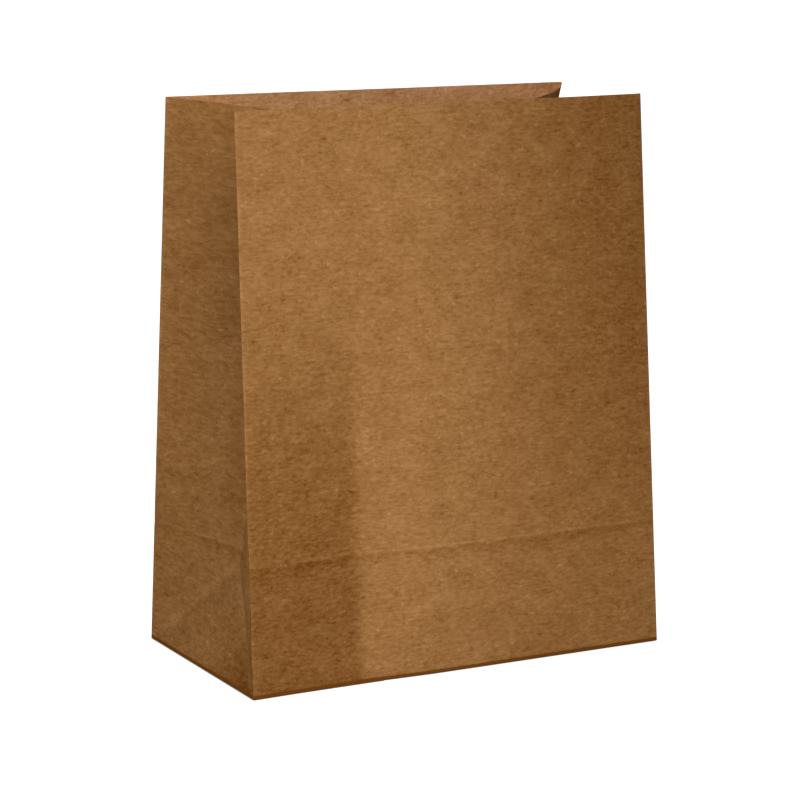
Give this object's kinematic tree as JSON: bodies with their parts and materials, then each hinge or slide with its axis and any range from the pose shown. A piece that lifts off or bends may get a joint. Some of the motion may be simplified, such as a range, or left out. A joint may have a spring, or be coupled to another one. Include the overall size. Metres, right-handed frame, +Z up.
{
  "type": "paper lunch bag",
  "caption": "Open brown kraft paper lunch bag with a flat glued bottom, gusseted sides that fold inwards and a plain cut mouth.",
  "frame": {"origin": "middle of the underside of the glued bottom, on the surface that the bag stands on", "axes": "+Z up towards the mouth, +X to the right along the front panel, +Y from the front panel to the back panel"},
  "size_m": [0.21, 0.1101, 0.2543],
  "materials": {
    "kraft_paper": "unbleached brown kraft paper, matt, with fine fibres and faint fold marks"
  },
  "bodies": {
    "root": {"paper_bag": "kraft_paper"}
  },
  "joints": []
}
